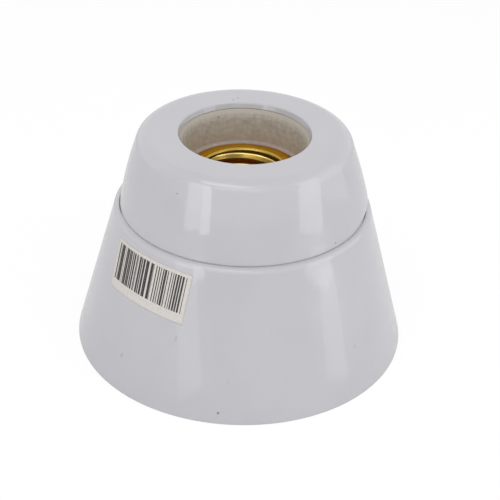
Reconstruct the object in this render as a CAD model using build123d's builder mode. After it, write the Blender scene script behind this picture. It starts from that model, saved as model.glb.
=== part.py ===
from build123d import *
import os
from math import atan2, cos, degrees, radians, sin

# A surface-mounted lamp holder for a 27 mm screw cap lamp.
# The origin is the centre of the foot, +Z runs up the lamp axis. Millimetres.

# Base: a hollow glazed cone with a neck that the cap screws onto
foot_radius = 50.0
shoulder_radius = 37.8
base_height = 43.6
base_wall = 4.8
shoulder_rounding = 2.0
foot_rounding = 0.2
neck_radius = 31.0
neck_wall = 4.0
neck_height = 8.4
inner_rounding = 1.5

# Mounting plate inside the base. The height under the terminals is shared out:
# this part of it is the recess under the plate, the rest is room for the wires.
recess_share = 0.48
plate_thickness = 4.5
cable_hole_radius = 9.0
mounting_hole_radius = 2.3
mounting_head_radius = 4.4
mounting_hole_spacing = 44.0
mounting_boss_radius = 6.5
pillar_radius = 5.2
pillar_clearance = 0.6
rib_thickness = 4.0

# Cap: a glazed ring with a thin lip over the insert
cap_seat_gap = 0.3
cap_foot_radius = 36.36
cap_top_radius = 30.46
cap_height = 23.1
cap_side_bulge = 0.65
cap_top_rounding = 4.0
cap_foot_rounding = 0.6
cap_wall = 4.0
thread_room = 1.0
neck_top_gap = 1.4
mouth_radius = 19.35
lip_radius = 18.5
lip_thickness = 1.55
lip_rounding = 0.25
cap_recess_gap = 0.4

# Insert: the unglazed ceramic body that carries the contacts
insert_lip_gap = 0.15
head_radius = 22.5
head_depth = 19.0
barrel_radius = 18.5
mouth_depth = 11.0
insert_mouth_radius = 18.0
rim_chamfer_width = 0.6
rim_chamfer_height = 2.2
ledge_rounding = 0.8
insert_floor_thickness = 4.0
skirt_depth = 8.0
skirt_radius = 17.4
skirt_wall = 3.0
ear_thickness = 6.0
ear_radius = 4.1
insert_screw_spacing = 44.8
wire_notch_width = 9.0
wire_notch_height = 5.0
channel_width = 9.0
channel_depth = 1.2

# Screw shell: rolled brass, right-hand round thread
sheet = 0.45
thread_crest_radius = 12.2
thread_root_radius = 13.3
thread_pitch = 3.629
thread_turns = 5
ridge_radius = 1.05
shell_length = 23.7
shell_clearance = 0.4
flange_radius = 16.9
flange_rise = 0.85
flange_recess = 0.6
flange_side_gap = 0.3
bead_radius = 0.5
thread_end_drop = 2.37
thread_end_angle = 190.0
foot_ring_radius = 9.5
shell_rivet_circle = 11.3
shell_rivet_angles = {"shell_rivet_side": 0.0, "shell_rivet_back": 150.0}

# Centre contact: a springy bronze leaf
leaf_thickness = 0.5
leaf_width = 6.0
leaf_lift = 0.2
leaf_tail = 2.0
leaf_foot = 1.6
leaf_nose_height = 3.2
leaf_nose_length = 6.4
leaf_tip_length = 4.0
leaf_tip_drop = 1.8
contact_rivet_place = 6.0
contact_head_gap = 0.35

# Rivets
rivet_radius = 1.2
rivet_clearance = 0.1
rivet_head_radius = 1.8
rivet_head_height = 0.8

# Terminals under the floor of the insert
strip_thickness = 0.6
strip_width = 6.0
block_width = 7.0
block_length = 7.0
block_height = 6.2
block_offset_x = 5.5
block_offset_y = 7.6
wire_hole_radius = 1.6
terminal_screw_radius = 1.5
terminal_head_radius = 2.6
terminal_head_height = 2.2
screw_clearance = 0.1
slot_width = 0.8
slot_depth = 0.9

# Fasteners that hold the insert in the base
screw_radius = 2.0
hole_clearance = 0.3
screw_head_radius = 3.5
screw_head_height = 2.4
washer_thickness = 0.9
washer_gap_angle = 24.0
nut_width = 7.0
nut_height = 3.2
nut_pocket_depth = 3.4
nut_pocket_clearance = 0.2
screw_overrun = 2.2

# Paper label on the side of the base
label_width = 29.5
label_height = 14.9
label_thickness = 0.12
label_glue = 0.02
label_centre_height = 34.45
label_azimuth = -131.7

# Heights that follow from the sizes above
neck_top = base_height + neck_height
cap_foot_z = base_height + cap_seat_gap
cap_top_z = cap_foot_z + cap_height
lip_z = cap_top_z - lip_thickness
insert_top = lip_z - insert_lip_gap
ledge_z = insert_top - mouth_depth
seat_z = ledge_z - flange_recess
insert_floor_top = seat_z - shell_length
insert_floor_bottom = insert_floor_top - insert_floor_thickness
skirt_bottom = insert_floor_bottom - skirt_depth
strip_bottom = insert_floor_bottom - strip_thickness
block_bottom = strip_bottom - block_height
terminal_bottom = block_bottom - terminal_head_height
plate_recess = recess_share * (terminal_bottom - plate_thickness)
plate_top = plate_recess + plate_thickness
ear_top = insert_floor_bottom + ear_thickness
shell_radius = thread_root_radius + sheet
neck_bore = neck_radius - neck_wall
cap_bore = neck_radius + thread_room
cap_recess_radius = head_radius + cap_recess_gap
flange_top = seat_z + sheet
bead_top = flange_top + flange_rise
cone_slope = (foot_radius - shoulder_radius) / base_height
cone_tilt = degrees(atan2(foot_radius - shoulder_radius, base_height))
screw_places = [(0, -insert_screw_spacing / 2), (0, insert_screw_spacing / 2)]


def cone_radius(height):
    """Radius of the outer cone of the base at a height."""
    return foot_radius - cone_slope * height


def wall_radius(height):
    """Radius of the inner cone of the base at a height."""
    return cone_radius(height) - base_wall


def on_circle(radius, angle):
    """Point of a circle about the lamp axis, the angle in degrees from +X."""
    return (radius * cos(radians(angle)), radius * sin(radians(angle)))


def corner(sketch, across, up):
    """The corner of a section that lies nearest to a point."""
    return sketch.vertices().sort_by_distance((across, up))[0]


def save(builder, name):
    """Label a finished piece and write it to its own file."""
    builder.part.label = name
    export_step(builder.part, f"parts/{name}.step")


os.makedirs("parts", exist_ok=True)

# Room above the mounting plate: the inner cone and the bore of the neck, less pillars and ribs
chamber_top = base_height - base_wall
with BuildPart() as upper_room:
    with BuildSketch(Plane.XZ) as room_section:
        with BuildLine():
            Polyline(
                (0, plate_top),
                (wall_radius(plate_top), plate_top),
                (wall_radius(chamber_top), chamber_top),
                (neck_bore, chamber_top),
                (neck_bore, neck_top),
                (0, neck_top),
                close=True,
            )
        make_face()
        fillet(corner(room_section, wall_radius(plate_top), plate_top), inner_rounding)
        fillet(corner(room_section, wall_radius(chamber_top), chamber_top), inner_rounding)
    revolve(axis=Axis.Z)
    with BuildSketch(Plane.XY.offset(plate_top)):
        with Locations(*screw_places):
            Circle(pillar_radius)
        Rectangle(rib_thickness, 2 * foot_radius)
        Circle(skirt_radius + pillar_clearance, mode=Mode.SUBTRACT)
    extrude(amount=insert_floor_bottom - plate_top, mode=Mode.SUBTRACT)

# Recess under the mounting plate, less the bosses that the mounting screws pull against
with BuildPart() as lower_room:
    with BuildSketch(Plane.XZ) as recess_section:
        with BuildLine():
            Polyline(
                (0, 0),
                (wall_radius(0), 0),
                (wall_radius(plate_recess), plate_recess),
                (0, plate_recess),
                close=True,
            )
        make_face()
        fillet(corner(recess_section, wall_radius(plate_recess), plate_recess), inner_rounding)
    revolve(axis=Axis.Z)
    with BuildSketch():
        with GridLocations(mounting_hole_spacing, 0, 2, 1):
            Circle(mounting_boss_radius)
    extrude(amount=plate_recess, mode=Mode.SUBTRACT)

with BuildPart() as base_shell:
    with BuildSketch(Plane.XZ) as base_section:
        with BuildLine():
            Polyline(
                (0, 0),
                (foot_radius, 0),
                (shoulder_radius, base_height),
                (neck_radius, base_height),
                (neck_radius, neck_top),
                (0, neck_top),
                close=True,
            )
        make_face()
        fillet(corner(base_section, foot_radius, 0), foot_rounding)
        fillet(corner(base_section, shoulder_radius, base_height), shoulder_rounding)
    revolve(axis=Axis.Z)
    add(upper_room.part, mode=Mode.SUBTRACT)
    add(lower_room.part, mode=Mode.SUBTRACT)
    with Locations((0, 0, plate_top)):
        Hole(cable_hole_radius, depth=plate_thickness)
        with GridLocations(mounting_hole_spacing, 0, 2, 1):
            CounterSinkHole(mounting_hole_radius, mounting_head_radius, depth=plate_top)
    with BuildSketch(Plane.XY.offset(plate_recess)):
        with Locations(*screw_places):
            Circle(screw_radius + hole_clearance)
    extrude(amount=insert_floor_bottom - plate_recess, mode=Mode.SUBTRACT)
    with BuildSketch(Plane.XY.offset(plate_recess)):
        with Locations(*screw_places):
            Rectangle(nut_width + 2 * nut_pocket_clearance, nut_width + 2 * nut_pocket_clearance)
    extrude(amount=nut_pocket_depth, mode=Mode.SUBTRACT)
save(base_shell, "base_shell")

# Cap: convex side, rounded top edge, and a lip that reaches over the insert
side_middle = (
    (cap_foot_radius + cap_top_radius) / 2 + cap_side_bulge,
    (cap_foot_z + cap_top_z) / 2,
)
cap_ceiling = cap_top_z - cap_wall
with BuildPart() as cap:
    with BuildSketch(Plane.XZ) as cap_section:
        with BuildLine():
            ThreePointArc((cap_foot_radius, cap_foot_z), side_middle, (cap_top_radius, cap_top_z))
            Polyline(
                (cap_top_radius, cap_top_z),
                (mouth_radius, cap_top_z),
                (lip_radius, lip_z),
                (cap_recess_radius, lip_z),
                (cap_recess_radius, cap_ceiling),
                (cap_top_radius - cap_wall, cap_ceiling),
                (cap_bore, neck_top + neck_top_gap),
                (cap_bore, cap_foot_z),
                (cap_foot_radius, cap_foot_z),
            )
        make_face()
        fillet(corner(cap_section, cap_top_radius, cap_top_z), cap_top_rounding)
        fillet(corner(cap_section, mouth_radius, cap_top_z), lip_rounding)
        fillet(corner(cap_section, cap_foot_radius, cap_foot_z), cap_foot_rounding)
    revolve(axis=Axis.Z)
save(cap, "cap")

# Insert: head, barrel, floor, skirt and two ears in one piece
head_bottom = insert_top - head_depth
shell_bore = shell_radius + shell_clearance
flange_bore = flange_radius + flange_side_gap
rivet_hole_radius = rivet_radius + rivet_clearance
with BuildPart() as insert_body:
    with BuildSketch(Plane.XZ):
        with BuildLine():
            Polyline(
                (0, skirt_bottom),
                (skirt_radius, skirt_bottom),
                (skirt_radius, insert_floor_bottom),
                (barrel_radius, insert_floor_bottom),
                (barrel_radius, head_bottom - (head_radius - barrel_radius)),
                (head_radius, head_bottom),
                (head_radius, insert_top),
                (0, insert_top),
                close=True,
            )
        make_face()
    revolve(axis=Axis.Z)
    with BuildSketch(Plane.XY.offset(insert_floor_bottom)):
        with Locations(*screw_places):
            Circle(ear_radius)
        Rectangle(2 * ear_radius, insert_screw_spacing)
    extrude(amount=ear_thickness)
    with BuildSketch(Plane.XZ) as well_section:
        with BuildLine():
            Polyline(
                (0, insert_floor_top),
                (shell_bore, insert_floor_top),
                (shell_bore, seat_z),
                (flange_bore, seat_z),
                (flange_bore, ledge_z),
                (insert_mouth_radius, ledge_z),
                (insert_mouth_radius, insert_top - rim_chamfer_height),
                (insert_mouth_radius + rim_chamfer_width, insert_top),
                (0, insert_top),
                close=True,
            )
        make_face()
        fillet(corner(well_section, insert_mouth_radius, ledge_z), ledge_rounding)
    revolve(axis=Axis.Z, mode=Mode.SUBTRACT)
    with BuildSketch(Plane.XY.offset(skirt_bottom)):
        Circle(skirt_radius - skirt_wall)
    extrude(amount=skirt_depth, mode=Mode.SUBTRACT)
    with BuildSketch(Plane.XY.offset(skirt_bottom)):
        Rectangle(2 * barrel_radius + 1, wire_notch_width)
    extrude(amount=wire_notch_height, mode=Mode.SUBTRACT)
    with BuildSketch(Plane.XY.offset(insert_floor_top)):
        channel_start = -contact_rivet_place + leaf_foot - leaf_thickness
        channel_length = leaf_foot + leaf_nose_length + leaf_tip_length
        with Locations((channel_start + channel_length / 2, 0)):
            Rectangle(channel_length, channel_width)
        Circle(foot_ring_radius, mode=Mode.INTERSECT)
    extrude(amount=-channel_depth, mode=Mode.SUBTRACT)
    with BuildSketch(Plane.XY.offset(insert_floor_bottom)):
        with Locations((-contact_rivet_place, 0)):
            Circle(rivet_hole_radius)
        for angle in shell_rivet_angles.values():
            with Locations(on_circle(shell_rivet_circle, angle)):
                Circle(rivet_hole_radius)
        with Locations(*screw_places):
            Circle(screw_radius + hole_clearance)
    extrude(amount=ear_thickness, mode=Mode.SUBTRACT)
save(insert_body, "insert_body")

# Round thread of the shell: the sheet is rolled inwards along a right-hand helix
thread_height = thread_turns * thread_pitch
thread_top = bead_top - thread_end_drop
ridge_line_radius = thread_crest_radius + ridge_radius
with BuildLine(Plane.XY.offset(thread_top - thread_height)) as thread_line:
    Helix(thread_pitch, thread_height, ridge_line_radius)
thread_section_plane = Plane(
    origin=thread_line.line @ 0,
    x_dir=(1, 0, 0),
    z_dir=thread_line.line % 0,
)
with BuildPart() as thread_ridge:
    with BuildSketch(thread_section_plane):
        Circle(ridge_radius)
        with Locations((thread_root_radius + sheet / 2 - ridge_line_radius, 0)):
            Rectangle(
                2 * ridge_radius + sheet,
                2 * ridge_radius,
                align=(Align.MAX, Align.CENTER),
                mode=Mode.INTERSECT,
            )
    sweep(path=thread_line.line, is_frenet=True)
    with BuildSketch(Plane.XY.offset(bead_top)):
        Circle(shell_radius)
    extrude(amount=2 * ridge_radius, mode=Mode.SUBTRACT)

with BuildPart() as screw_shell:
    with BuildSketch(Plane.XZ) as shell_section:
        with BuildLine():
            Polyline(
                (foot_ring_radius, insert_floor_top),
                (shell_radius, insert_floor_top),
                (shell_radius, bead_top - 1.5 * sheet),
                (flange_radius, seat_z),
                (flange_radius, flange_top),
                (thread_root_radius, bead_top),
                (thread_crest_radius + bead_radius, bead_top),
                (thread_crest_radius, bead_top - bead_radius),
                (thread_root_radius, bead_top - bead_radius - ridge_radius),
                (thread_root_radius, insert_floor_top + sheet),
                (foot_ring_radius, insert_floor_top + sheet),
                close=True,
            )
        make_face()
        fillet(corner(shell_section, thread_crest_radius + bead_radius, bead_top), bead_radius / 2)
        fillet(corner(shell_section, thread_crest_radius, bead_top - bead_radius), bead_radius / 2)
    revolve(axis=Axis.Z)
    add(thread_ridge.part, rotation=(0, 0, thread_end_angle))
    with BuildSketch(Plane.XY.offset(insert_floor_top)):
        for angle in shell_rivet_angles.values():
            with Locations(on_circle(shell_rivet_circle, angle)):
                Circle(rivet_hole_radius)
    extrude(amount=sheet, mode=Mode.SUBTRACT)
save(screw_shell, "screw_shell")

# Centre contact: a flat foot, a rising arm, a nose and a tip that points down
foot_z = insert_floor_top + leaf_lift + leaf_thickness / 2
arm_start = -contact_rivet_place + leaf_foot
nose_x = arm_start + leaf_nose_length
nose_z = foot_z + leaf_nose_height
with BuildPart() as centre_contact:
    with BuildSketch(Plane.XZ):
        with BuildLine() as leaf_line:
            FilletPolyline(
                (-contact_rivet_place - leaf_tail, foot_z),
                (arm_start, foot_z),
                (nose_x, nose_z),
                (nose_x + leaf_tip_length, nose_z - leaf_tip_drop),
                radius=2 * leaf_thickness,
            )
            offset(amount=leaf_thickness / 2, side=Side.BOTH)
        make_face()
    extrude(amount=leaf_width / 2, both=True)
    with BuildSketch(Plane.XY.offset(insert_floor_top)):
        with Locations((-contact_rivet_place, 0)):
            Circle(rivet_hole_radius)
    extrude(amount=2 * leaf_lift + leaf_thickness, mode=Mode.SUBTRACT)
save(centre_contact, "centre_contact")


def rivet(name, place, head_z, tail_z):
    """Rivet with its head on top, from head_z down to a tail under tail_z."""
    with BuildPart() as one_rivet:
        with BuildSketch(Plane.XY.offset(tail_z - rivet_head_height)):
            with Locations(place):
                Circle(rivet_radius)
        extrude(amount=head_z - tail_z + 2 * rivet_head_height)
        for low in (tail_z - rivet_head_height, head_z):
            with BuildSketch(Plane.XY.offset(low)):
                with Locations(place):
                    Circle(rivet_head_radius)
            extrude(amount=rivet_head_height)
        rims = one_rivet.edges().filter_by(GeomType.CIRCLE)
        fillet([rims.sort_by(Axis.Z)[0], rims.sort_by(Axis.Z)[-1]], rivet_head_height / 2)
    save(one_rivet, name)


rivet(
    "contact_rivet",
    (-contact_rivet_place, 0),
    insert_floor_top + leaf_lift + leaf_thickness + contact_head_gap,
    strip_bottom,
)
for rivet_name, rivet_angle in shell_rivet_angles.items():
    rivet(
        rivet_name,
        on_circle(shell_rivet_circle, rivet_angle),
        insert_floor_top + sheet,
        strip_bottom if rivet_name == "shell_rivet_side" else insert_floor_bottom,
    )


def connecting_strip(name, rivet_x, block_centre):
    """Flat strip under the floor, from a rivet to the top of a terminal block."""
    block_x, block_y = block_centre
    with BuildPart() as strip:
        with BuildSketch(Plane.XY.offset(strip_bottom)):
            with BuildLine():
                Polyline((rivet_x, 0), (block_x, 0), (block_x, block_y))
                offset(amount=strip_width / 2, side=Side.BOTH)
            make_face()
            with Locations((rivet_x, 0)):
                Circle(rivet_hole_radius, mode=Mode.SUBTRACT)
        extrude(amount=strip_thickness)
    save(strip, name)


thread_hole_radius = terminal_screw_radius + screw_clearance


def terminal_block(name, centre):
    """Brass block with a cross hole for the wire and a threaded hole from below."""
    with BuildPart() as block:
        with BuildSketch(Plane.XY.offset(block_bottom)):
            with Locations(centre):
                Rectangle(block_width, block_length)
                Circle(thread_hole_radius, mode=Mode.SUBTRACT)
        extrude(amount=block_height)
        wire_z = strip_bottom - wire_hole_radius - strip_thickness
        with BuildSketch(Plane.YZ.offset(centre[0] - block_width / 2)):
            with Locations((centre[1], wire_z)):
                Circle(wire_hole_radius)
        extrude(amount=block_width, mode=Mode.SUBTRACT)
    save(block, name)


def slotted_screw(name, centre, head_plane, shank_radius, shank_length, head_radius, head_height):
    """Cheese-head screw: head on the plane's far side, shank along its normal."""
    with BuildPart() as screw:
        with BuildSketch(head_plane):
            with Locations(centre):
                Circle(shank_radius)
        extrude(amount=shank_length)
        with BuildSketch(head_plane):
            with Locations(centre):
                Circle(head_radius)
        extrude(amount=-head_height)
        with BuildSketch(head_plane.offset(-head_height)):
            with Locations(centre):
                Rectangle(2 * head_radius, slot_width, rotation=35)
        extrude(amount=slot_depth, mode=Mode.SUBTRACT)
    save(screw, name)


terminals = {
    "live": (-contact_rivet_place, (-block_offset_x, -block_offset_y)),
    "neutral": (shell_rivet_circle, (block_offset_x, block_offset_y)),
}
for pole, (strip_rivet_x, block_place) in terminals.items():
    connecting_strip(f"{pole}_strip", strip_rivet_x, block_place)
    terminal_block(f"{pole}_terminal", block_place)
    slotted_screw(
        f"{pole}_terminal_screw",
        block_place,
        Plane.XY.offset(block_bottom),
        terminal_screw_radius,
        block_height / 2,
        terminal_head_radius,
        terminal_head_height,
    )

# Screws, spring washers and captive nuts that hold the insert to the pillars of the base
washer_top = ear_top + washer_thickness
nut_top = plate_recess + nut_pocket_depth
nut_bottom = nut_top - nut_height
insert_screw_length = washer_top - nut_bottom + screw_overrun
for side_name, screw_place in zip(("front", "back"), screw_places):
    slotted_screw(
        f"insert_screw_{side_name}",
        (screw_place[0], -screw_place[1]),
        Plane(origin=(0, 0, washer_top), x_dir=(1, 0, 0), z_dir=(0, 0, -1)),
        screw_radius,
        insert_screw_length,
        screw_head_radius,
        screw_head_height,
    )
    with BuildPart() as washer:
        with BuildSketch(Plane.XY.offset(ear_top)):
            with Locations(screw_place):
                Circle(screw_head_radius)
                Circle(screw_radius + screw_clearance, mode=Mode.SUBTRACT)
            with Locations((screw_head_radius, screw_place[1])):
                gap_width = screw_head_radius * radians(washer_gap_angle)
                Rectangle(2 * screw_head_radius, gap_width, mode=Mode.SUBTRACT)
        extrude(amount=washer_thickness)
    save(washer, f"spring_washer_{side_name}")
    with BuildPart() as nut:
        with BuildSketch(Plane.XY.offset(nut_bottom)):
            with Locations(screw_place):
                Rectangle(nut_width, nut_width)
                Circle(screw_radius + screw_clearance, mode=Mode.SUBTRACT)
        extrude(amount=nut_height)
    save(nut, f"square_nut_{side_name}")

# Label: a thin sheet rolled onto the cone and cut to a rectangle square to its surface
surface_radius = cone_radius(label_centre_height)
label_across = on_circle(1, label_azimuth)
label_plane = Plane(
    origin=(surface_radius * label_across[0], surface_radius * label_across[1], label_centre_height),
    x_dir=(-label_across[1], label_across[0], 0),
    z_dir=(
        label_across[0] * cos(radians(cone_tilt)),
        label_across[1] * cos(radians(cone_tilt)),
        sin(radians(cone_tilt)),
    ),
)
label_chord = 2 * surface_radius * sin(label_width / (2 * surface_radius))
label_reach = surface_radius / 4
with BuildPart() as label_sticker:
    with BuildSketch(Plane.XZ):
        with BuildLine():
            low_z = label_centre_height - label_height
            high_z = min(label_centre_height + label_height, base_height)
            Polyline(
                (cone_radius(low_z) + label_glue, low_z),
                (cone_radius(low_z) + label_glue + label_thickness / cos(radians(cone_tilt)), low_z),
                (cone_radius(high_z) + label_glue + label_thickness / cos(radians(cone_tilt)), high_z),
                (cone_radius(high_z) + label_glue, high_z),
                close=True,
            )
        make_face()
    revolve(axis=Axis.Z)
    with BuildSketch(label_plane):
        Rectangle(label_chord, label_height)
    extrude(amount=label_reach, both=True, mode=Mode.INTERSECT)
save(label_sticker, "label_sticker")
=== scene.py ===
"""Looks of the ceramic lamp holder: glazed base and cap, rough insert, rolled brass shell, paper label.

Lengths are millimetres until a mesh is written, which is in metres. The lamp axis is Z and the foot stands on
z = 0. Sizes are those of the solids, unless a comment says otherwise.
"""

import bmesh
import bpy
import numpy as np
from mathutils import Matrix


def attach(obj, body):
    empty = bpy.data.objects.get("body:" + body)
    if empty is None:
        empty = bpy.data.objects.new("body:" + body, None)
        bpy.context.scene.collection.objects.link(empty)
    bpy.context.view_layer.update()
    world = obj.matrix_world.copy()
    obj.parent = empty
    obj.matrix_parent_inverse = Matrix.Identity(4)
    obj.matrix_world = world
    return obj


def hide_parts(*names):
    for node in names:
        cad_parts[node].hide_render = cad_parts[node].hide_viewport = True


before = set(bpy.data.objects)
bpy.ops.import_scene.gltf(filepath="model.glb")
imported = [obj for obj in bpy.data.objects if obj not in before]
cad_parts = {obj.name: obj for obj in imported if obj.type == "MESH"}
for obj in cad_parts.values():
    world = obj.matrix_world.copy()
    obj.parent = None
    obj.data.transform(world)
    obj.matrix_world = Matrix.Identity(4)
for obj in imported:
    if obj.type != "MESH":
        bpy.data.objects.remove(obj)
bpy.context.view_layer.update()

MM = 0.001
AROUND = 384

# Base
FOOT_RADIUS = 50.0
SHOULDER_RADIUS = 37.8
BASE_HEIGHT = 43.6
NECK_RADIUS = 31.0
NECK_TOP = 52.0
CONE_SLOPE = (FOOT_RADIUS - SHOULDER_RADIUS) / BASE_HEIGHT
GLAZE = 0.03
GLAZE_START_Z = 0.12
NECK_GLAZE_TOP = NECK_TOP - 0.4

# Cap
CAP_FOOT_Z = 43.9
CAP_TOP_Z = 67.0
CAP_FOOT_RADIUS = 36.36
CAP_TOP_RADIUS = 30.46
CAP_BULGE = 0.65
CAP_BORE = 32.0
CAP_MOUTH_RADIUS = 19.35
CAP_LIP_RADIUS = 18.5
CAP_RECESS_RADIUS = 22.9
CAP_CEILING_Z = 63.0
CAP_CEILING_RADIUS = 26.46
CAP_BORE_TOP = 53.4

# Seam of the photograph, where the cap ends 0.4 mm above the foot of the solid cap
SEAM_Z = 44.3
SEAM_RADIUS = 36.24

# Fullness of the fired cap towards +X: it starts below the first height, is greatest at the second, and fades
# from the third down to the seam
FULL_FROM_Z = 62.6
FULL_MOST_Z = 48.0
FULL_FADE_Z = 47.6
FULL_BY = 0.9

# Mouth of the insert and its brass shell. The ledge lies 0.25 mm above the solid's, and the thread's crest
# passes angle 0 at CREST_Z
LIP_Z = 65.45
INSERT_TOP = 65.3
LEDGE_Z = 54.55
MOUTH_RADIUS = 18.0
FLOOR_Z = 30.0
ROOT_RADIUS = 13.3
THREAD_DEPTH = 1.1
THREAD_PITCH = 3.629
CREST_Z = 54.35
SHEET = 0.45
SHELL_WALL_TOP = 53.75

# Label
LABEL_WIDTH = 29.5
LABEL_HEIGHT = 14.9
LABEL_THICKNESS = 0.12
LABEL_CENTRE_Z = 34.45
LABEL_ANGLE = -131.7

# Names of the maps that tell a material where it is on its sheet
THREAD_MAP = "thread_map"
LABEL_MAP = "label_map"


def linear(red, green, blue):
    """Colour as a screen shows it, 0 to 255, turned into the shader's linear values."""
    share = np.array([red, green, blue]) / 255.0
    low = share / 12.92
    high = ((share + 0.055) / 1.055) ** 2.4
    return (*np.where(share <= 0.04045, low, high).tolist(), 1.0)


def smooth_step(value, start, end):
    """0 before start, 1 after end, and 3t^2 - 2t^3 between, t being the share of the way."""
    share = np.clip((value - start) / (end - start), 0.0, 1.0)
    return share * share * (3.0 - 2.0 * share)


# Meshes


def grid_piece(name, points, wrap_rows, wrap_columns, material, map_name=None, spread=None):
    """Mesh of a grid of points, a quad to each cell. A wrapped direction joins its last line to its first."""
    rows, columns = points.shape[:2]
    number = np.arange(rows * columns).reshape(rows, columns)
    if wrap_rows:
        number = np.vstack((number, number[:1]))
    if wrap_columns:
        number = np.hstack((number, number[:, :1]))
    cells = (number[:-1, :-1], number[:-1, 1:], number[1:, 1:], number[1:, :-1])
    quads = np.stack(cells, axis=-1).reshape(-1, 4)
    mesh = bpy.data.meshes.new(name)
    mesh.vertices.add(rows * columns)
    mesh.vertices.foreach_set("co", (points * MM).astype(np.float32).ravel())
    mesh.loops.add(quads.size)
    mesh.loops.foreach_set("vertex_index", quads.astype(np.int32).ravel())
    mesh.polygons.add(len(quads))
    mesh.polygons.foreach_set("loop_start", np.arange(0, quads.size, 4, dtype=np.int32))
    mesh.polygons.foreach_set("use_smooth", np.ones(len(quads), dtype=bool))
    if map_name:
        layer = mesh.uv_layers.new(name=map_name)
        layer.data.foreach_set("uv", spread.reshape(-1, 2)[quads.ravel()].astype(np.float32).ravel())
    mesh.update(calc_edges=True)
    mesh.validate()
    mesh.materials.append(material)
    piece = bpy.data.objects.new(name, mesh)
    bpy.context.scene.collection.objects.link(piece)
    return piece


def rounded_section(corners, spacing):
    """Closed section through corners (r, z, rounding), as points a spacing apart.

    A corner with a rounding R is cut back by R tan(turn / 2) along both its sides, and the arc between is
    centre + R (cos, sin), its angle running evenly from one side's normal to the other's.
    """
    places = np.array([corner[:2] for corner in corners], dtype=float)
    roundings = np.array([corner[2] for corner in corners], dtype=float)
    line = []
    for before, place, after, rounding in zip(
        np.roll(places, 1, axis=0), places, np.roll(places, -1, axis=0), roundings
    ):
        if rounding == 0.0:
            line.append(place[None, :])
            continue
        arriving = (place - before) / np.linalg.norm(place - before)
        leaving = (after - place) / np.linalg.norm(after - place)
        side = np.sign(arriving[0] * leaving[1] - arriving[1] * leaving[0])
        turn = np.arccos(np.clip(arriving @ leaving, -1.0, 1.0))
        start = place - arriving * rounding * np.tan(turn / 2)
        inward = side * np.array([-arriving[1], arriving[0]])
        centre = start + inward * rounding
        first = np.arctan2(-inward[1], -inward[0])
        angles = first + side * np.linspace(0.0, turn, 12)
        line.append(centre + rounding * np.stack((np.cos(angles), np.sin(angles)), axis=-1))
    line = np.vstack(line)
    closed = np.vstack((line, line[:1]))
    reach = np.concatenate(([0.0], np.cumsum(np.linalg.norm(np.diff(closed, axis=0), axis=1))))
    steps = np.linspace(0.0, reach[-1], int(reach[-1] / spacing) + 1)[:-1]
    steps = np.union1d(steps, reach[:-1])
    keep = np.concatenate(([True], np.diff(steps) > spacing / 40))
    steps = steps[keep]
    return np.stack((np.interp(steps, reach, closed[:, 0]), np.interp(steps, reach, closed[:, 1])), axis=-1)


def turned(section):
    """Surface of revolution: section point (r, z) at angle a lies at (r cos a, r sin a, z)."""
    angle = np.linspace(0.0, 2.0 * np.pi, AROUND, endpoint=False)
    radius, angles = np.meshgrid(section[:, 0], angle, indexing="ij")
    height = np.repeat(section[:, 1][:, None], AROUND, axis=1)
    return np.stack((radius * np.cos(angles), radius * np.sin(angles), height), axis=-1)


def coarse_thread(name, inside, radius, height, low, high, material):
    """Sleeve with a round helical ridge, r = radius + height cos^2(pi (z - pitch a / 2pi) / pitch).

    The ridge fades at the sleeve's ends, and the sleeve's other side is a plain cylinder.
    """
    pitch = 3.4
    wall = 0.4
    fade = 1.2
    backing = -wall if height > 0 else wall
    angle = np.linspace(0.0, 2.0 * np.pi, AROUND, endpoint=False)
    level = np.linspace(low, high, 72)
    levels, angles = np.meshgrid(level, angle, indexing="ij")
    ridge = np.cos(np.pi * (levels - pitch * angles / (2.0 * np.pi)) / pitch) ** 2
    ends = smooth_step(levels, low, low + fade) * (1.0 - smooth_step(levels, high - fade, high))
    front = radius + height * ridge * ends
    back = np.full_like(front[:2], radius + backing)
    if inside:
        front = front[::-1]
        levels = levels[::-1]
    radii = np.vstack((front, back))
    heights = np.vstack((levels, levels[-1:], levels[:1]))
    turning = np.vstack((angles, angles[:2]))
    points = np.stack((radii * np.cos(turning), radii * np.sin(turning), heights), axis=-1)
    return grid_piece(name, points, True, True, material)


# Materials


def new_material(name):
    """Material with a plain surface shader; gives the material, its node tree and the shader."""
    material = bpy.data.materials.new(name)
    material.use_nodes = True
    tree = material.node_tree
    tree.nodes.clear()
    output = tree.nodes.new("ShaderNodeOutputMaterial")
    shader = tree.nodes.new("ShaderNodeBsdfPrincipled")
    tree.links.new(shader.outputs["BSDF"], output.inputs["Surface"])
    return material, tree, shader


def place_of(tree):
    """Socket with the point's place on the piece, in metres."""
    return tree.nodes.new("ShaderNodeTexCoord").outputs["Object"]


def noise(tree, place, size, detail=3.0, roughness=0.5):
    """Cloudy value from 0 to 1 whose patches are about a size in millimetres."""
    node = tree.nodes.new("ShaderNodeTexNoise")
    node.inputs["Scale"].default_value = 1.0 / (size * MM)
    node.inputs["Detail"].default_value = detail
    node.inputs["Roughness"].default_value = roughness
    tree.links.new(place, node.inputs["Vector"])
    return node.outputs["Fac"]


def ramp(tree, value, low, high, start=0.0, end=1.0):
    """Value taken from start at low to end at high, with a smooth run between."""
    node = tree.nodes.new("ShaderNodeMapRange")
    node.interpolation_type = "SMOOTHSTEP"
    node.inputs["From Min"].default_value = low
    node.inputs["From Max"].default_value = high
    node.inputs["To Min"].default_value = start
    node.inputs["To Max"].default_value = end
    tree.links.new(value, node.inputs["Value"])
    return node.outputs["Result"]


def combine(tree, operation, first, second):
    """One step of arithmetic on two sockets or numbers."""
    node = tree.nodes.new("ShaderNodeMath")
    node.operation = operation
    for socket, value in zip(node.inputs, (first, second)):
        if isinstance(value, (int, float)):
            socket.default_value = value
        else:
            tree.links.new(value, socket)
    return node.outputs["Value"]


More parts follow.
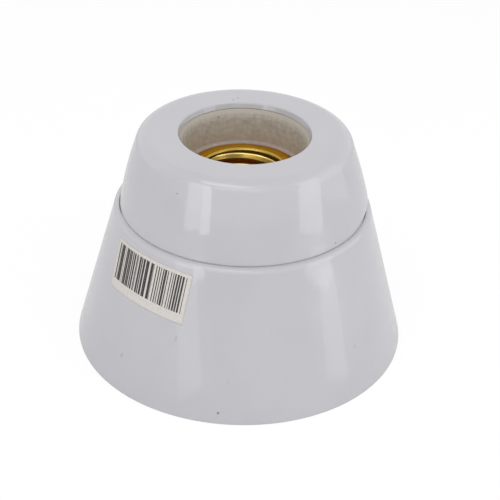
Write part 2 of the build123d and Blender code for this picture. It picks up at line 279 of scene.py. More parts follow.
def blend_colours(tree, share, first, second):
    """Colour that goes from first to second as the share goes from 0 to 1."""
    node = tree.nodes.new("ShaderNodeMix")
    node.data_type = "RGBA"
    tree.links.new(share, node.inputs["Factor"])
    for socket, colour in ((node.inputs["A"], first), (node.inputs["B"], second)):
        if isinstance(colour, tuple):
            socket.default_value = colour
        else:
            tree.links.new(colour, socket)
    return node.outputs["Result"]


def spot(tree, place, centre, radius, stretch=(1.0, 1.0, 1.0)):
    """1 at a spot in millimetres and 0 outside it, its edge broken by fine noise."""
    moved = tree.nodes.new("ShaderNodeVectorMath")
    moved.operation = "SUBTRACT"
    moved.inputs[1].default_value = tuple(value * MM for value in centre)
    tree.links.new(place, moved.inputs[0])
    scaled = tree.nodes.new("ShaderNodeVectorMath")
    scaled.operation = "MULTIPLY"
    scaled.inputs[1].default_value = stretch
    tree.links.new(moved.outputs["Vector"], scaled.inputs[0])
    length = tree.nodes.new("ShaderNodeVectorMath")
    length.operation = "LENGTH"
    tree.links.new(scaled.outputs["Vector"], length.inputs[0])
    broken = combine(tree, "MULTIPLY", noise(tree, place, radius * 0.8, 2.0), radius * MM)
    distance = combine(tree, "ADD", length.outputs["Value"], broken)
    return ramp(tree, distance, 0.7 * radius * MM, 1.5 * radius * MM, 1.0, 0.0)


def bump(tree, height, distance, strength):
    """Normal of a surface that a 0 to 1 height raises by up to a distance in millimetres."""
    node = tree.nodes.new("ShaderNodeBump")
    node.inputs["Distance"].default_value = distance * MM
    node.inputs["Strength"].default_value = strength
    tree.links.new(height, node.inputs["Height"])
    return node.outputs["Normal"]


def axis_distance(tree, place):
    """Distance of the point from the lamp axis, in metres: the root of x squared plus y squared."""
    flat = tree.nodes.new("ShaderNodeVectorMath")
    flat.operation = "MULTIPLY"
    flat.inputs[1].default_value = (1.0, 1.0, 0.0)
    tree.links.new(place, flat.inputs[0])
    length = tree.nodes.new("ShaderNodeVectorMath")
    length.operation = "LENGTH"
    tree.links.new(flat.outputs["Vector"], length.inputs[0])
    return length.outputs["Value"]


def height_of(tree, place):
    """Height of the point above the foot, in metres."""
    split = tree.nodes.new("ShaderNodeSeparateXYZ")
    tree.links.new(place, split.inputs["Vector"])
    return split.outputs["Z"]


def on_cone(angle, height):
    """Point of the base's outer cone at an angle in degrees and a height."""
    radius = FOOT_RADIUS - CONE_SLOPE * height
    return (radius * np.cos(np.radians(angle)), radius * np.sin(np.radians(angle)), height)


def side_of_cap(height):
    """Radius of the cap's side: straight from foot to top, plus a bulge of 4 b s (1 - s)."""
    share = (height - CAP_FOOT_Z) / (CAP_TOP_Z - CAP_FOOT_Z)
    straight = CAP_FOOT_RADIUS + (CAP_TOP_RADIUS - CAP_FOOT_RADIUS) * share
    return straight + 4.0 * CAP_BULGE * share * (1.0 - share)


def on_cap(angle, height):
    """Point of the cap's side at an angle in degrees and a height."""
    radius = float(side_of_cap(height))
    return (radius * np.cos(np.radians(angle)), radius * np.sin(np.radians(angle)), height)


def glaze(name, marks, lip_shade_radius=0.0, seam_shade_radius=0.0):
    """Grey-white glazed porcelain: a clear gloss over a faintly clouded body, pinholes and a few dark marks.

    Nearer the lamp axis than the lip's shade radius, in millimetres, the lip is painted darker and warmer:
    painted shade, with painted bounce light from the beige insert.
    At the seam's shade radius, in millimetres, painted shade lies in a fine dark line along the seam near the
    two ends of the X axis, at the front.
    """
    material, tree, shader = new_material(name)
    place = place_of(tree)
    clouds = noise(tree, place, 18.0, 4.0)
    colour = blend_colours(tree, ramp(tree, clouds, 0.3, 0.7), linear(189, 188, 194), linear(192, 191, 197))
    grains = tree.nodes.new("ShaderNodeTexVoronoi")
    grains.inputs["Scale"].default_value = 1.0 / (2.6 * MM)
    tree.links.new(place, grains.inputs["Vector"])
    rare = ramp(tree, grains.outputs["Color"], 0.9, 0.93)
    pinhole = combine(tree, "MULTIPLY", ramp(tree, grains.outputs["Distance"], 0.04, 0.09, 1.0, 0.0), rare)
    colour = blend_colours(tree, combine(tree, "MULTIPLY", pinhole, 0.35), colour, linear(120, 116, 112))
    if lip_shade_radius:
        # Painted shade on the lip inside the mouth, warmed as painted bounce light from the insert
        inside = ramp(tree, axis_distance(tree, place), (lip_shade_radius - 0.25) * MM, lip_shade_radius * MM, 0.6, 0.0)
        colour = blend_colours(tree, inside, colour, linear(164, 160, 160))
    if seam_shade_radius:
        # Painted shade: a near-black line on the base just outside the cap's foot, at the front near both
        # ends of the X axis
        off_axis = axis_distance(tree, place)
        line = ramp(tree, off_axis, (seam_shade_radius - 0.08) * MM, seam_shade_radius * MM)
        outer_edge = ramp(tree, off_axis, (seam_shade_radius + 0.24) * MM, (seam_shade_radius + 0.34) * MM, 1.0, 0.0)
        line = combine(tree, "MULTIPLY", line, outer_edge)
        split = tree.nodes.new("ShaderNodeSeparateXYZ")
        tree.links.new(place, split.inputs["Vector"])
        sideways = combine(tree, "ABSOLUTE", split.outputs["X"], 0.0)
        in_front = ramp(tree, split.outputs["Y"], -0.5 * MM, 2.5 * MM, 1.0, 0.0)
        at_ends = combine(tree, "MULTIPLY", ramp(tree, sideways, 34.2 * MM, 36.0 * MM), in_front)
        colour = blend_colours(tree, combine(tree, "MULTIPLY", line, at_ends), colour, linear(26, 25, 26))
    for centre, radius, stretch, depth in marks:
        dark = combine(tree, "MULTIPLY", spot(tree, place, centre, radius, stretch), depth)
        colour = blend_colours(tree, dark, colour, linear(62, 56, 52))
    tree.links.new(colour, shader.inputs["Base Color"])
    tree.links.new(ramp(tree, noise(tree, place, 9.0), 0.3, 0.7, 0.3, 0.42), shader.inputs["Roughness"])
    shader.inputs["Specular IOR Level"].default_value = 0.35
    shader.inputs["Coat Weight"].default_value = 1.0
    shader.inputs["Coat Roughness"].default_value = 0.06
    shader.inputs["Coat IOR"].default_value = 1.5
    ripple = combine(tree, "MULTIPLY", noise(tree, place, 2.5, 1.0), 0.06)
    waves = combine(tree, "ADD", noise(tree, place, 14.0, 1.0), ripple)
    relief = combine(tree, "SUBTRACT", waves, combine(tree, "MULTIPLY", pinhole, 0.3))
    normal = bump(tree, relief, 0.12, 0.6)
    tree.links.new(normal, shader.inputs["Normal"])
    tree.links.new(normal, shader.inputs["Coat Normal"])
    return material


def bare_ceramic(name, dark_speck, pale_chip):
    """Unglazed ceramic: mottled beige and grainy, greyer and darker down the wall, with a paler band of
    painted light round the rim.

    A dark speck and a pale chip lie at two places in millimetres.
    """
    material, tree, shader = new_material(name)
    place = place_of(tree)
    drawn = tree.nodes.new("ShaderNodeVectorMath")
    drawn.operation = "MULTIPLY"
    drawn.inputs[1].default_value = (1.0, 1.0, 0.5)
    tree.links.new(place, drawn.inputs[0])
    streaks = ramp(tree, noise(tree, drawn.outputs["Vector"], 1.3, 6.0, 0.6), 0.3, 0.7)
    colour = blend_colours(tree, streaks, linear(193, 187, 177), linear(176, 169, 159))
    # Greyer and darker down the wall, from 64 mm down to 56 mm above the foot
    ragged = combine(tree, "MULTIPLY", noise(tree, place, 2.5), 4.0 * MM)
    wall_depth = combine(tree, "ADD", height_of(tree, place), ragged)
    greyer_below = ramp(tree, wall_depth, 56.0 * MM, 64.0 * MM, 0.6, 0.0)
    colour = blend_colours(tree, greyer_below, colour, linear(160, 155, 152))
    grain = noise(tree, place, 0.5, 4.0, 0.7)
    colour = blend_colours(tree, ramp(tree, grain, 0.56, 0.78, 0.0, 0.4), colour, linear(112, 102, 92))
    specks = tree.nodes.new("ShaderNodeTexVoronoi")
    specks.inputs["Scale"].default_value = 1.0 / (1.5 * MM)
    tree.links.new(place, specks.inputs["Vector"])
    rare = ramp(tree, specks.outputs["Color"], 0.86, 0.9)
    speck = combine(tree, "MULTIPLY", ramp(tree, specks.outputs["Distance"], 0.08, 0.2, 1.0, 0.0), rare)
    speck = combine(tree, "MAXIMUM", speck, spot(tree, place, dark_speck, 0.42))
    colour = blend_colours(tree, combine(tree, "MULTIPLY", speck, 0.75), colour, linear(84, 76, 70))
    # Painted light: a paler band round the rim, where the chamfer faces up
    ragged = combine(tree, "MULTIPLY", noise(tree, place, 2.0), 0.8 * MM)
    rim = combine(tree, "ADD", height_of(tree, place), ragged)
    painted_rim_light = ramp(tree, rim, 63.9 * MM, 64.8 * MM, 0.0, 0.75)
    colour = blend_colours(tree, painted_rim_light, colour, linear(204, 199, 188))
    colour = blend_colours(tree, spot(tree, place, pale_chip, 0.3), colour, linear(236, 232, 222))
    tree.links.new(colour, shader.inputs["Base Color"])
    shader.inputs["Roughness"].default_value = 0.86
    shader.inputs["Specular IOR Level"].default_value = 0.3
    relief = combine(tree, "ADD", grain, noise(tree, place, 1.2, 3.0))
    tree.links.new(bump(tree, relief, 0.07, 0.9), shader.inputs["Normal"])
    return material


def metal(name, bright, dull, smooth, rough, scratch_size):
    """Sheet or turned metal: clean colour with duller patches, the patches rougher, and fine marks."""
    material, tree, shader = new_material(name)
    place = place_of(tree)
    patches = ramp(tree, noise(tree, place, 4.0, 5.0, 0.6), 0.42, 0.66)
    tree.links.new(blend_colours(tree, patches, bright, dull), shader.inputs["Base Color"])
    shader.inputs["Metallic"].default_value = 1.0
    tree.links.new(ramp(tree, patches, 0.0, 1.0, smooth, rough), shader.inputs["Roughness"])
    tree.links.new(bump(tree, noise(tree, place, scratch_size, 3.0), 0.02, 0.5), shader.inputs["Normal"])
    return material


def rolled_brass(name):
    """Smooth drawn brass: gold above the thread, orange at the flange's rim and brown deeper in the shell."""
    material, tree, shader = new_material(name)
    place = place_of(tree)
    off_axis = axis_distance(tree, place)
    clouds = noise(tree, place, 7.0, 3.0)
    colour = blend_colours(tree, ramp(tree, clouds, 0.35, 0.65), linear(138, 113, 56), linear(128, 103, 48))
    just_above = (SHELL_WALL_TOP + 0.01) * MM
    above_thread = ramp(tree, height_of(tree, place), just_above, just_above + 0.1 * MM)
    colour = blend_colours(tree, above_thread, colour, linear(172, 146, 74))
    # Brighter gold on the flange, its edge set in to 12.5 mm as painted light over a dark reflection at the
    # bead's top
    flange = combine(tree, "MULTIPLY", above_thread, ramp(tree, off_axis, 12.5 * MM, 13.05 * MM))
    colour = blend_colours(tree, flange, colour, linear(240, 200, 76))
    # Orange towards the flange's outer rim: partly the brass's tone, partly a painted reflection of the beige
    # wall
    colour = blend_colours(tree, ramp(tree, off_axis, 14.0 * MM, 16.5 * MM), colour, linear(226, 152, 74))
    groove = tree.nodes.new("ShaderNodeUVMap")
    groove.uv_map = THREAD_MAP
    split = tree.nodes.new("ShaderNodeSeparateXYZ")
    tree.links.new(groove.outputs["UV"], split.inputs["Vector"])
    crest_share, upper_share = split.outputs["X"], split.outputs["Y"]
    # The thread's lower flanks turn a brighter orange: tarnish, and painted light that lifts the grooves
    tarnish_and_groove_light = ramp(tree, upper_share, 0.45, 0.65, 0.85, 0.0)
    colour = blend_colours(tree, tarnish_and_groove_light, colour, linear(216, 148, 50))
    # Painted highlight: a bright line along the upper flank next to the groove
    in_groove = ramp(tree, crest_share, 0.14, 0.3, 1.0, 0.0)
    painted_edge_highlight = combine(tree, "MULTIPLY", ramp(tree, upper_share, 0.66, 0.76), in_groove)
    colour = blend_colours(tree, painted_edge_highlight, colour, linear(250, 224, 138))
    tree.links.new(colour, shader.inputs["Base Color"])
    shader.inputs["Metallic"].default_value = 1.0
    shader.inputs["Specular Tint"].default_value = linear(255, 226, 160)
    smooth = ramp(tree, clouds, 0.3, 0.7, 0.2, 0.28)
    on_flange = ramp(tree, off_axis, 12.9 * MM, 13.8 * MM, 0.0, 0.12)
    tree.links.new(combine(tree, "ADD", smooth, on_flange), shader.inputs["Roughness"])
    tree.links.new(bump(tree, noise(tree, place, 3.0, 1.0), 0.01, 0.2), shader.inputs["Normal"])
    return material


def paper(name):
    """Label paper with a printed field of upright bars, which stand for nothing.

    The field has 34 columns with a bar in each. Two hashes of the column's number say how wide the bar is and
    where it stands in the column.
    """
    material, tree, shader = new_material(name)
    place = place_of(tree)
    sheet_place = tree.nodes.new("ShaderNodeUVMap")
    sheet_place.uv_map = LABEL_MAP
    split = tree.nodes.new("ShaderNodeSeparateXYZ")
    tree.links.new(sheet_place.outputs["UV"], split.inputs["Vector"])
    left, right, low, high = 0.037, 0.957, 0.2, 0.93
    columns = 34.0
    from_left = combine(tree, "SUBTRACT", split.outputs["X"], left)
    run = combine(tree, "MULTIPLY", from_left, columns / (right - left))
    hashes = []
    for offset in (0.0, 0.5):
        column = tree.nodes.new("ShaderNodeTexWhiteNoise")
        column.noise_dimensions = "1D"
        tree.links.new(combine(tree, "ADD", combine(tree, "FLOOR", run, 0.0), offset), column.inputs["W"])
        hashes.append(column.outputs["Value"])
    bar_width = ramp(tree, hashes[0], 0.0, 1.0, 0.24, 0.94)
    spare = combine(tree, "SUBTRACT", 1.0, bar_width)
    bar_start = combine(tree, "MULTIPLY", spare, hashes[1])
    from_start = combine(tree, "SUBTRACT", combine(tree, "FRACT", run, 0.0), bar_start)
    dark = combine(tree, "GREATER_THAN", from_start, 0.0)
    dark = combine(tree, "MULTIPLY", dark, combine(tree, "LESS_THAN", from_start, bar_width))
    for socket, edge, test in (
        (split.outputs["X"], left, "GREATER_THAN"),
        (split.outputs["X"], right, "LESS_THAN"),
        (split.outputs["Y"], low, "GREATER_THAN"),
        (split.outputs["Y"], high, "LESS_THAN"),
    ):
        dark = combine(tree, "MULTIPLY", dark, combine(tree, test, socket, edge))
    fibres = ramp(tree, noise(tree, place, 0.8, 4.0), 0.3, 0.7)
    sheet = blend_colours(tree, fibres, linear(215, 210, 205), linear(207, 201, 196))
    ink = blend_colours(tree, fibres, linear(30, 28, 30), linear(46, 44, 44))
    tree.links.new(blend_colours(tree, dark, sheet, ink), shader.inputs["Base Color"])
    shader.inputs["Roughness"].default_value = 0.55
    tree.links.new(bump(tree, fibres, 0.01, 0.6), shader.inputs["Normal"])
    return material


# Dark marks: place, radius, squeeze along each axis, and depth from 0 to 1
BASE_MARKS = [
    (on_cone(-96.0, 3.3), 0.55, (1.0, 1.0, 1.0), 0.7),
    (on_cone(-113.5, 22.4), 0.5, (1.0, 1.0, 0.22), 0.2),
    (on_cone(-135.4, 10.7), 0.6, (1.0, 1.0, 0.5), 0.25),
    (on_cone(-93.0, 12.5), 0.5, (1.0, 1.0, 0.7), 0.14),
    (on_cone(-43.0, 15.0), 0.6, (1.0, 1.0, 0.5), 0.14),
    (on_cone(-78.0, 27.0), 0.3, (1.0, 1.0, 1.0), 0.2),
]
CAP_MARKS = [
    (on_cap(-123.7, 61.4), 0.28, (1.0, 1.0, 1.0), 0.95),
    (on_cap(-43.3, 45.8), 0.4, (1.0, 1.0, 1.5), 0.92),
    ((-2.45, 22.37, CAP_TOP_Z), 0.4, (1.0, 1.0, 1.0), 0.8),
    ((-3.93, 20.87, CAP_TOP_Z), 0.38, (1.0, 1.0, 1.0), 0.7),
]
WALL_SPECK = (-8.0, 16.1, 63.35)
LEDGE_CHIP = (-9.1, 15.1, 54.65)
base_glaze = glaze("porcelain_of_the_base", BASE_MARKS, seam_shade_radius=SEAM_RADIUS)
cap_glaze = glaze("porcelain_of_the_cap", CAP_MARKS, lip_shade_radius=CAP_MOUTH_RADIUS)
inner_ceramic = bare_ceramic("bare_ceramic_of_the_insert", WALL_SPECK, LEDGE_CHIP)
shell_brass = rolled_brass("rolled_brass")
small_brass = metal("cut_brass", linear(232, 204, 132), linear(190, 152, 84), 0.25, 0.42, 0.3)
leaf_bronze = metal("spring_bronze", linear(226, 176, 126), linear(178, 122, 84), 0.28, 0.42, 0.3)
plated_steel = metal("zinc_plated_steel", linear(214, 216, 220), linear(176, 178, 184), 0.28, 0.46, 0.4)
label_paper = paper("printed_label_paper")

# Glaze on the base: it follows the cone, the rounded shoulder and the root of the neck
base_section = rounded_section(
    [
        (FOOT_RADIUS - 1.0, GLAZE_START_Z, 0.0),
        (FOOT_RADIUS + GLAZE - GLAZE_START_Z * CONE_SLOPE, GLAZE_START_Z, 0.25),
        (SHOULDER_RADIUS + GLAZE, SEAM_Z - 0.35, 1.8),
        (CAP_FOOT_RADIUS, SEAM_Z - 0.02, 1.0),
        (NECK_RADIUS + GLAZE, SEAM_Z - 0.02, 0.25),
        (NECK_RADIUS + GLAZE, NECK_GLAZE_TOP, 0.0),
        (NECK_RADIUS - 0.4, NECK_GLAZE_TOP, 0.0),
        (NECK_RADIUS - 0.4, BASE_HEIGHT - 0.8, 0.0),
        (SHOULDER_RADIUS - 1.6, BASE_HEIGHT - 0.8, 0.6),
        (FOOT_RADIUS - 1.0, 1.2, 0.0),
    ],
    1.0,
)
glaze_on_base = grid_piece("glaze_on_base", turned(base_section), True, True, base_glaze)
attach(glaze_on_base, "base")

neck_thread = coarse_thread(
    "neck_thread",
    inside=False,
    radius=NECK_RADIUS + 0.05,
    height=0.4,
    low=45.4,
    high=51.4,
    material=base_glaze,
)
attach(neck_thread, "base")

# Cap: the whole ring, its side bulged, its top edge rounded, with a lip over the insert
rounding_start = CAP_FOOT_Z + 0.83 * (CAP_TOP_Z - CAP_FOOT_Z)
side_heights = np.linspace(CAP_FOOT_Z + 0.8, rounding_start, 20)
side_radii = side_of_cap(side_heights)
side_lean = (side_radii[-1] - side_radii[-2]) / (side_heights[-1] - side_heights[-2])
top_corner_radius = side_radii[-1] + side_lean * (CAP_TOP_Z - rounding_start)
cap_section = rounded_section(
    [(float(side_of_cap(SEAM_Z)) - 0.06, SEAM_Z, 0.07)]
    + [(radius, height, 0.0) for radius, height in zip(side_radii, side_heights)]
    + [
        (top_corner_radius, CAP_TOP_Z, 4.0),
        (CAP_MOUTH_RADIUS, CAP_TOP_Z, 0.4),
        (CAP_LIP_RADIUS, LIP_Z - 0.05, 0.15),
        (CAP_RECESS_RADIUS, LIP_Z - 0.05, 0.2),
        (CAP_RECESS_RADIUS, CAP_CEILING_Z, 0.6),
        (CAP_CEILING_RADIUS, CAP_CEILING_Z, 1.2),
        (CAP_BORE, CAP_BORE_TOP, 1.2),
        (CAP_BORE, SEAM_Z, 0.3),
    ],
    0.7,
)
# The fired ring is out of true: within 44 degrees of +X its side is fuller, most of all just above its foot
cap_points = turned(cap_section)
cap_radii = np.hypot(cap_points[..., 0], cap_points[..., 1])
below_top = np.clip((FULL_FROM_Z - cap_points[..., 2]) / (FULL_FROM_Z - FULL_MOST_Z), 0.0, 1.0) ** 1.25
tucked_in = 1.0 - 0.92 * smooth_step(cap_points[..., 2], FULL_FADE_Z, SEAM_Z)
towards_x = smooth_step(cap_points[..., 0] / cap_radii, 0.72, 1.0)
on_side = cap_radii > side_of_cap(cap_points[..., 2]) - 1.2
cap_push = 1.0 + np.where(on_side, FULL_BY * below_top * tucked_in * towards_x / cap_radii, 0.0)
cap_points[..., 0] *= cap_push
cap_points[..., 1] *= cap_push
glazed_cap = grid_piece("glazed_cap", cap_points, True, True, cap_glaze)
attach(glazed_cap, "cap")
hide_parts("cap")

cap_thread = coarse_thread(
    "cap_thread",
    inside=True,
    radius=CAP_BORE - 0.05,
    height=-0.28,
    low=44.8,
    high=52.0,
    material=cap_glaze,
)
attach(cap_thread, "cap")

# Skin of the insert's mouth: rim, chamfer, wall and the ledge round the shell
mouth_section = rounded_section(
    [
        (18.9, INSERT_TOP + 0.04, 0.0),
        (18.57, INSERT_TOP + 0.04, 0.12),
        (18.2, 63.9, 3.0),
        (MOUTH_RADIUS - 0.03, 62.6, 4.0),
        (MOUTH_RADIUS - 0.03, LEDGE_Z + 0.03, 0.8),
        (17.0, LEDGE_Z + 0.03, 0.2),
        (17.0, LEDGE_Z - 0.5, 0.0),
        (18.3, LEDGE_Z - 0.5, 0.0),
        (18.3, 62.0, 0.0),
        (18.9, 64.9, 0.0),
    ],
    0.3,
)
mouth_points = turned(mouth_section)
mouth_x, mouth_y, mouth_z = mouth_points[..., 0], mouth_points[..., 1], mouth_points[..., 2]
unevenness = 0.05
waves = np.sin(mouth_z * 2.1 + 3.0 * np.sin(mouth_x * 0.6)) * np.cos(mouth_y * 1.3 + mouth_z * 0.9)
on_wall = (np.hypot(mouth_x, mouth_y) < MOUTH_RADIUS + 0.05) & (mouth_z > LEDGE_Z + 0.8)
mouth_push = 1.0 - np.where(on_wall, unevenness * (1.0 + waves) / MOUTH_RADIUS, 0.0)
mouth_points[..., 0] *= mouth_push
mouth_points[..., 1] *= mouth_push
mouth_wall = grid_piece("mouth_wall", mouth_points, True, True, inner_ceramic)
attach(mouth_wall, "base")


def rolled_shell():
    """Brass shell as one closed sheet, r = section radius - depth w (1 + cos(2 pi (z - c) / pitch)) / 2.

    The crest height c climbs one pitch a turn, right-handed, and w fades the thread at both ends of the wall.
    Each point also gets its share of the crest, and how far it lies on the upper flank, both from 0 to 1.
    """
    wall = np.linspace(31.4, SHELL_WALL_TOP, 132)
    outer_low = [(9.5, FLOOR_Z + 0.02), (13.2, FLOOR_Z + 0.02), (ROOT_RADIUS + SHEET, FLOOR_Z + 0.5)]
    flange = [
        (13.9, 54.26),
        (16.6, 54.04),
        (16.86, 54.12),
        (16.92, 54.28),
        (16.8, 54.46),
        (16.2, 54.56),
        (15.0, 54.82),
        (14.3, 55.02),
        (13.8, 55.14),
        (13.35, 55.22),
        (13.0, 55.23),
        (12.7, 55.16),
        (12.45, 55.0),
        (12.28, 54.76),
        (12.2, 54.46),
        (12.23, 54.2),
        (12.42, 53.98),
        (12.75, 53.84),
    ]
    inner_low = [(ROOT_RADIUS, 30.9), (12.85, FLOOR_Z + SHEET), (9.5, FLOOR_Z + SHEET)]
    outside = np.column_stack((np.full(wall.size, ROOT_RADIUS + SHEET), wall))
    inside = np.column_stack((np.full(wall.size, ROOT_RADIUS), wall[::-1]))
    section = np.vstack((outer_low, outside, flange, inside, inner_low))
    threaded = np.zeros(len(section))
    lower_fade = smooth_step(wall, 34.0, 36.2)
    outside_fade = lower_fade * (1.0 - smooth_step(wall, 53.3, SHELL_WALL_TOP))
    inside_fade = lower_fade * (1.0 - 0.35 * smooth_step(wall, 53.4, SHELL_WALL_TOP))
    first = len(outer_low)
    threaded[first : first + wall.size] = outside_fade
    second = first + wall.size + len(flange)
    threaded[second : second + wall.size] = inside_fade[::-1]
    angle = np.linspace(0.0, 2.0 * np.pi, 288, endpoint=False)
    crest = CREST_Z + angle / (2.0 * np.pi) * THREAD_PITCH
    wave = 0.5 + 0.5 * np.cos(2.0 * np.pi * (section[:, 1][:, None] - crest[None, :]) / THREAD_PITCH)
    radius = section[:, 0][:, None] - THREAD_DEPTH * threaded[:, None] * wave
    height = np.repeat(section[:, 1][:, None], angle.size, axis=1)
    points = np.stack((radius * np.cos(angle), radius * np.sin(angle), height), axis=-1)
    upper_side = np.sin(2.0 * np.pi * (section[:, 1][:, None] - crest[None, :]) / THREAD_PITCH)
    on_flange = height > 53.8
    crest_share = np.where(on_flange, 1.0, wave)
    upper_share = np.where(on_flange, 1.0, 0.5 + 0.5 * upper_side)
    return points, np.stack((crest_share, upper_share), axis=-1)


shell_points, shell_spread = rolled_shell()
thread_shell = grid_piece("thread_shell", shell_points, True, True, shell_brass, THREAD_MAP, shell_spread)
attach(thread_shell, "base")
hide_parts("screw_shell")


def rolled_label():
    """Label sheet on the cone as a closed ring of points, with each point's share of the way across and up.

    The flat place (x, y) lies at slant distance s from the cone's apex, s^2 = x^2 + (s0 - y)^2, and turns by
    atan(x / (s0 - y)) / sin(half angle). The sheet's edges stand up a little.
    """
    half_angle = np.arctan(CONE_SLOPE)
    middle = (FOOT_RADIUS - CONE_SLOPE * LABEL_CENTRE_Z) / np.sin(half_angle)
    across = np.linspace(-LABEL_WIDTH / 2, LABEL_WIDTH / 2, 72)
    up = np.linspace(-LABEL_HEIGHT / 2, LABEL_HEIGHT / 2, 32)
    ups, acrosses = np.meshgrid(up, across, indexing="ij")
    slant = np.hypot(acrosses, middle - ups)
    turn = np.arctan2(acrosses, middle - ups) / np.sin(half_angle) + np.radians(LABEL_ANGLE)
    edge = np.minimum(LABEL_WIDTH / 2 - np.abs(acrosses), LABEL_HEIGHT / 2 - np.abs(ups))
    lift = 0.02 + LABEL_THICKNESS + 0.05 * np.exp(-edge / 0.8)
    faces = []
    for out in (lift, np.zeros_like(lift)):
        radius = slant * np.sin(half_angle) + out * np.cos(half_angle)
        height = (FOOT_RADIUS / np.sin(half_angle) - slant) * np.cos(half_angle) + out * np.sin(half_angle)
        faces.append(np.stack((radius * np.cos(turn), radius * np.sin(turn), height), axis=-1))
    spread = np.stack((acrosses / LABEL_WIDTH + 0.5, ups / LABEL_HEIGHT + 0.5), axis=-1)
    front, back = faces
    ring = np.vstack((front, back[::-1]))
    ring_map = np.vstack((spread, np.zeros_like(spread)))
    return ring, ring_map


def close_ends(piece):
    """Fills the open ends of a piece and turns all faces outwards."""
    work = bmesh.new()
    work.from_mesh(piece.data)
    rims = [edge for edge in work.edges if edge.is_boundary]
    bmesh.ops.holes_fill(work, edges=rims, sides=0)
    bmesh.ops.recalc_face_normals(work, faces=work.faces)
    work.to_mesh(piece.data)
    work.free()


label_ring, label_spread = rolled_label()
paper_label = grid_piece("paper_label", label_ring, True, False, label_paper, LABEL_MAP, label_spread)
close_ends(paper_label)
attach(paper_label, "base")
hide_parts("label_sticker")

# The solids that stay get their finishes
finishes = {
    "base_shell": base_glaze,
    "insert_body": inner_ceramic,
    "centre_contact": leaf_bronze,
    "contact_rivet": small_brass,
    "shell_rivet_side": small_brass,
    "shell_rivet_back": small_brass,
    "live_strip": small_brass,
    "neutral_strip": small_brass,
    "live_terminal": small_brass,
    "neutral_terminal": small_brass,
    "live_terminal_screw": plated_steel,
    "neutral_terminal_screw": plated_steel,
    "insert_screw_front": plated_steel,
    "insert_screw_back": plated_steel,
    "spring_washer_front": plated_steel,
    "spring_washer_back": plated_steel,
    "square_nut_front": plated_steel,
    "square_nut_back": plated_steel,
}
for node_name, finish in finishes.items():
    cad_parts[node_name].material_slots[0].material = finish


# Floor, light and camera


def seen_directly(tree):
    """1 for what the camera, a reflection or a clear pass sees, 0 for light that falls on the object."""
    path = tree.nodes.new("ShaderNodeLightPath")
    total = combine(tree, "ADD", path.outputs["Is Camera Ray"], path.outputs["Is Glossy Ray"])
    return combine(tree, "MINIMUM", combine(tree, "ADD", total, path.outputs["Is Transmission Ray"]), 1.0)


def pale_room(light_level):
    """World that looks white and lights the object at a plain level."""
    world = bpy.data.worlds.new("pale_room")
    bpy.context.scene.world = world
    world.use_nodes = True
    tree = world.node_tree
    background = tree.nodes["Background"]
    background.inputs["Color"].default_value = (1.0, 1.0, 1.0, 1.0)
    tree.links.new(ramp(tree, seen_directly(tree), 0.0, 1.0, light_level, 1.0), background.inputs["Strength"])


def white_floor():
    """Plain floor that looks almost white, fainter in reflections, and keeps part of the object's shadow."""
    material = bpy.data.materials.new("white_floor")
    material.use_nodes = True
    tree = material.node_tree
    tree.nodes.clear()
    output = tree.nodes.new("ShaderNodeOutputMaterial")
    card = tree.nodes.new("ShaderNodeBsdfDiffuse")
    card.inputs["Color"].default_value = (0.86, 0.86, 0.86, 1.0)
    glow = tree.nodes.new("ShaderNodeEmission")
    glow.inputs["Strength"].default_value = 1.06
    mix = tree.nodes.new("ShaderNodeMixShader")
    path = tree.nodes.new("ShaderNodeLightPath")
    bounced = combine(tree, "ADD", path.outputs["Is Glossy Ray"], path.outputs["Is Transmission Ray"])
    seen = combine(tree, "MULTIPLY", path.outputs["Is Camera Ray"], 0.8)
    tree.links.new(combine(tree, "ADD", seen, combine(tree, "MULTIPLY", bounced, 0.1)), mix.inputs["Fac"])
    tree.links.new(card.outputs["BSDF"], mix.inputs[1])
    tree.links.new(glow.outputs["Emission"], mix.inputs[2])
    tree.links.new(mix.outputs["Shader"], output.inputs["Surface"])
    half = 1500.0
    # Just below the foot, so that the two faces never share a plane
    level = -0.05
    near = [[-half, -half, level], [half, -half, level]]
    far = [[-half, half, level], [half, half, level]]
    corners = np.array([near, far])
    floor = grid_piece("floor", corners, False, False, material)


def softbox(name, angle, distance, height, size, glow, upright=False, lean=0.0, sheen_only=False):
    """Rectangular lamp at an angle in degrees round the object, turned to the lamp axis.

    Its face is as bright as a white that glows by this much, so its power is glow times pi times its area. An
    upright one stands plumb, turned by its lean in degrees, and the others face a point 40 mm above the foot.
    A sheen-only one shows in reflections alone.
    """
    lamp = bpy.data.lights.new(name, "AREA")
    lamp.shape = "RECTANGLE"
    lamp.size = size[0] * MM
    lamp.size_y = size[1] * MM
    lamp.energy = glow * np.pi * lamp.size * lamp.size_y
    place = np.array([distance * np.cos(np.radians(angle)), distance * np.sin(np.radians(angle)), height])
    target_height = height if upright else 40.0
    away = place - np.array([0.0, 0.0, target_height])
    away = away / np.linalg.norm(away)
    across = np.cross([0.0, 0.0, 1.0], away)
    across = across / np.linalg.norm(across)
    up = np.cross(away, across)
    turn = np.radians(lean)
    across, up = np.cos(turn) * across - np.sin(turn) * up, np.cos(turn) * up + np.sin(turn) * across
    body = bpy.data.objects.new(name, lamp)
    matrix = np.eye(4)
    matrix[:3, 0] = across
    matrix[:3, 1] = up
    matrix[:3, 2] = away
    matrix[:3, 3] = place * MM
    body.matrix_world = Matrix(matrix.tolist())
    body.visible_camera = False
    body.visible_diffuse = not sheen_only
    bpy.context.scene.collection.objects.link(body)


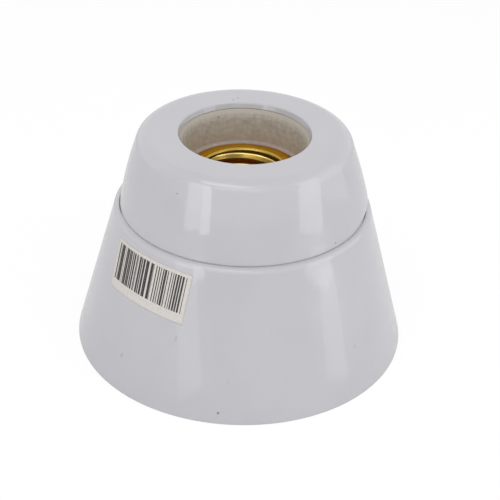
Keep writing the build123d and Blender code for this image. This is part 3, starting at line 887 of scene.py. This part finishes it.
def photo_camera():
    """Camera of the photograph: 331 mm in front of the lamp axis, 236 mm up, looking down by 32 degrees."""
    distance, height = 331.29, 235.82
    pitch, yaw, roll = 0.5623, 0.0079, 0.0355
    focal_pixels, picture_pixels = 1290.7, 500.0
    forward = np.array([np.sin(yaw) * np.cos(pitch), np.cos(yaw) * np.cos(pitch), -np.sin(pitch)])
    level = np.array([np.cos(yaw), -np.sin(yaw), 0.0])
    upright = np.cross(level, forward)
    matrix = np.eye(4)
    matrix[:3, 0] = np.cos(roll) * level + np.sin(roll) * upright
    matrix[:3, 1] = -np.sin(roll) * level + np.cos(roll) * upright
    matrix[:3, 2] = -forward
    matrix[:3, 3] = np.array([0.0, -distance, height]) * MM
    lens = bpy.data.cameras.new("photo_camera")
    lens.sensor_width = 36.0
    lens.lens = focal_pixels * lens.sensor_width / picture_pixels
    camera = bpy.data.objects.new("photo_camera", lens)
    camera.matrix_world = Matrix(matrix.tolist())
    bpy.context.scene.collection.objects.link(camera)
    bpy.context.scene.camera = camera


pale_room(light_level=0.74)
white_floor()
softbox(
    "left_strip", angle=-124.7, distance=240.0, height=140.0, size=(36.0, 230.0),
    glow=2.3, upright=True, lean=-8.0,
)
softbox(
    "faint_strip", angle=-136.0, distance=240.0, height=132.0, size=(56.0, 215.0),
    glow=1.4, upright=True, lean=-8.0, sheen_only=True,
)
softbox(
    "right_strip", angle=-22.0, distance=260.0, height=165.0, size=(110.0, 326.0),
    glow=1.35, upright=True, lean=12.0,
)
softbox(
    "right_outer_strip", angle=8.0, distance=260.0, height=150.0, size=(140.0, 270.0),
    glow=0.45, upright=True, lean=12.0, sheen_only=True,
)
softbox(
    "low_left_strip", angle=-116.0, distance=75.0, height=19.0, size=(15.0, 34.0),
    glow=0.6, upright=True, lean=-22.7, sheen_only=True,
)
softbox(
    "low_right_strip", angle=-37.0, distance=75.0, height=18.5, size=(17.0, 35.0),
    glow=0.6, upright=True, lean=12.0, sheen_only=True,
)
softbox("front_top", angle=-95.0, distance=420.0, height=420.0, size=(420.0, 160.0), glow=0.9)
softbox("overhead", angle=-115.0, distance=190.0, height=430.0, size=(280.0, 110.0), glow=2.2)
photo_camera()
bpy.context.scene.view_settings.view_transform = "Standard"
